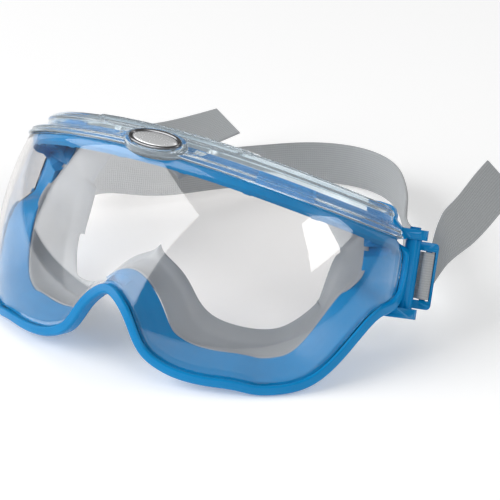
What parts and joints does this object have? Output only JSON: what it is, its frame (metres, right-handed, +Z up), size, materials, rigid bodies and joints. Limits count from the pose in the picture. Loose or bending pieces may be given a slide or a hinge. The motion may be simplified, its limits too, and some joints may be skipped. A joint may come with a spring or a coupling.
{
  "type": "safety goggles",
  "caption": "Wraparound safety goggles: clear lens and vented brow hood in a moulded frame with a soft face seal, hinged strap clips and an elastic head strap.",
  "frame": {"origin": "middle of the footprint, on the table that the goggles rest on", "axes": "+X to the wearer's left seen from behind the lens, which is the viewer's right from the front, +Y from the lens towards the wearer, +Z up"},
  "size_m": [0.1904, 0.1694, 0.0768],
  "materials": {
    "clear_lens": "clear polycarbonate, polished",
    "clear_hood": "clear moulded polycarbonate with ribs",
    "frame_plastic": "satin cyan-blue soft moulded plastic",
    "seal_rubber": "soft translucent grey elastomer",
    "badge_chrome": "polished chrome",
    "badge_metal": "smooth blank silver",
    "pin_plastic": "satin nylon",
    "strap_webbing": "woven grey elastic webbing with fine cross ribs"
  },
  "bodies": {
    "root": {"lens": "clear_lens", "brow_hood": "clear_hood", "frame": "frame_plastic", "face_seal": "seal_rubber", "badge_bezel": "badge_chrome", "badge_plate": "badge_metal", "clip_pin_right": "pin_plastic", "clip_pin_left": "pin_plastic", "strap_loop": "strap_webbing"},
    "clip_right": {"strap_clip_right": "frame_plastic", "strap_end_right": "strap_webbing"},
    "clip_left": {"strap_clip_left": "frame_plastic", "strap_end_left": "strap_webbing"}
  },
  "joints": [
    {"name": "clip_right_hinge", "type": "hinge", "parent": "root", "child": "clip_right", "pos_m": [0.08257, -0.01097, 0.0269], "axis": [-0.0973, 0.473, 0.8757], "range_deg": [-12, 12]},
    {"name": "clip_left_hinge", "type": "hinge", "parent": "root", "child": "clip_left", "pos_m": [-0.08215, -0.01097, 0.0269], "axis": [-0.0973, -0.473, -0.8757], "range_deg": [-12, 12]}
  ]
}
